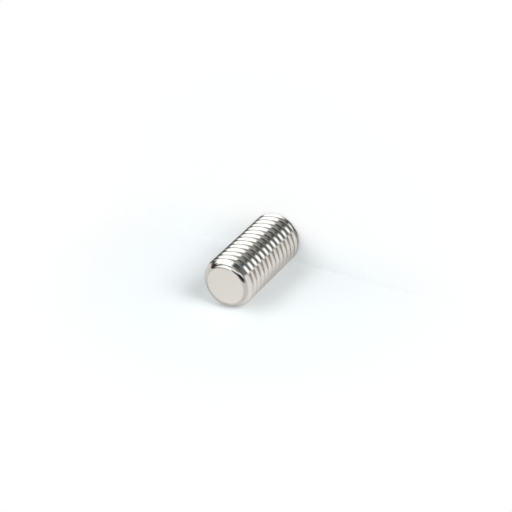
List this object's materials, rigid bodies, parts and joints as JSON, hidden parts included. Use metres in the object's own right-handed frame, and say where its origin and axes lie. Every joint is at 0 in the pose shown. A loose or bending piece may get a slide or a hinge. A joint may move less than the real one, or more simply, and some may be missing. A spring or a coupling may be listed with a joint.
{
  "type": "grub set screw",
  "caption": "Headless set screw with a full-length metric thread, a chamfered flat point and a hex socket at the drive end.",
  "frame": {"origin": "centre of the drive end's flat ring, in the plane that the screw stands on", "axes": "+Z along the screw's axis from the drive end to the flat point; +X is normal to one flat of the hex socket"},
  "size_m": [0.012, 0.012, 0.025],
  "materials": {
    "bright_steel": "bright nickel-plated steel, smooth rolled thread and a finely turned flat point"
  },
  "bodies": {
    "root": {"grub_screw": "bright_steel"}
  },
  "joints": []
}
